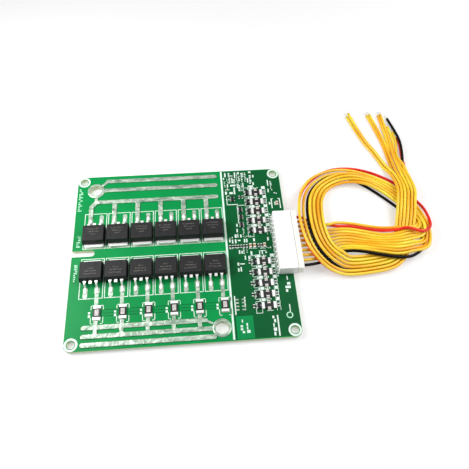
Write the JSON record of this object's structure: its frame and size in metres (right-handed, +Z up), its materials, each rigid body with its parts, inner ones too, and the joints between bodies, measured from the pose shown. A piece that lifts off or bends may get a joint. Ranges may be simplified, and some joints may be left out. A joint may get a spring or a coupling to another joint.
{
  "type": "battery management board",
  "caption": "Rectangular protection and balancing circuit board with power transistors, shunts and a side header, and its plug on a looped bundle of sensing wires.",
  "frame": {"origin": "centre of the four mounting holes, on the underside of the bare board", "axes": "+X along the board's length towards the header and its wires, +Y across the board away from the shunts, +Z up out of the component side"},
  "size_m": [0.1703, 0.1261, 0.0089],
  "materials": {
    "green_solder_mask": "green lacquer over copper on glass-fibre laminate",
    "solder": "bright hot-tinned solder",
    "tinned_metal": "matt tin plating",
    "mould_compound": "matt black epoxy moulding",
    "resistor_coat": "glossy black glaze",
    "tan_ceramic": "tan ceramic",
    "white_nylon": "white moulded nylon",
    "ivory_nylon": "ivory moulded nylon",
    "yellow_insulation": "yellow vinyl insulation",
    "red_insulation": "red vinyl insulation",
    "black_insulation": "black vinyl insulation"
  },
  "bodies": {
    "root": {"circuit_board": "green_solder_mask", "upper_bus_solder": "solder", "lower_bus_solder": "solder", "terminal_plating": "solder", "component_pads": "solder", "transistor_01_body": "mould_compound", "transistor_02_body": "mould_compound", "transistor_03_body": "mould_compound", "transistor_04_body": "mould_compound", "transistor_05_body": "mould_compound", "transistor_06_body": "mould_compound", "transistor_07_body": "mould_compound", "transistor_08_body": "mould_compound", "transistor_09_body": "mould_compound", "transistor_10_body": "mould_compound", "transistor_11_body": "mould_compound", "transistor_12_body": "mould_compound", "transistor_01_leadframe": "tinned_metal", "transistor_02_leadframe": "tinned_metal", "transistor_03_leadframe": "tinned_metal", "transistor_04_leadframe": "tinned_metal", "transistor_05_leadframe": "tinned_metal", "transistor_06_leadframe": "tinned_metal", "transistor_07_leadframe": "tinned_metal", "transistor_08_leadframe": "tinned_metal", "transistor_09_leadframe": "tinned_metal", "transistor_10_leadframe": "tinned_metal", "transistor_11_leadframe": "tinned_metal", "transistor_12_leadframe": "tinned_metal", "shunt_resistors": "mould_compound", "shunt_terminals": "tinned_metal", "balance_resistors": "resistor_coat", "balance_terminals": "tinned_metal", "control_chips": "mould_compound", "control_chip_leads": "tinned_metal", "chip_resistors": "resistor_coat", "chip_capacitors": "tan_ceramic", "chip_ends": "tinned_metal", "header_housing": "white_nylon", "header_pins": "tinned_metal", "header_solder": "solder", "plug_housing": "ivory_nylon", "crimp_contacts": "tinned_metal", "wire_red": "red_insulation", "wire_yellow_1": "yellow_insulation", "wire_yellow_2": "yellow_insulation", "wire_yellow_3": "yellow_insulation", "wire_yellow_4": "yellow_insulation", "wire_yellow_5": "yellow_insulation", "wire_yellow_6": "yellow_insulation", "wire_yellow_7": "yellow_insulation", "wire_yellow_8": "yellow_insulation", "wire_yellow_9": "yellow_insulation", "wire_black": "black_insulation", "wire_strands": "tinned_metal"}
  },
  "joints": []
}
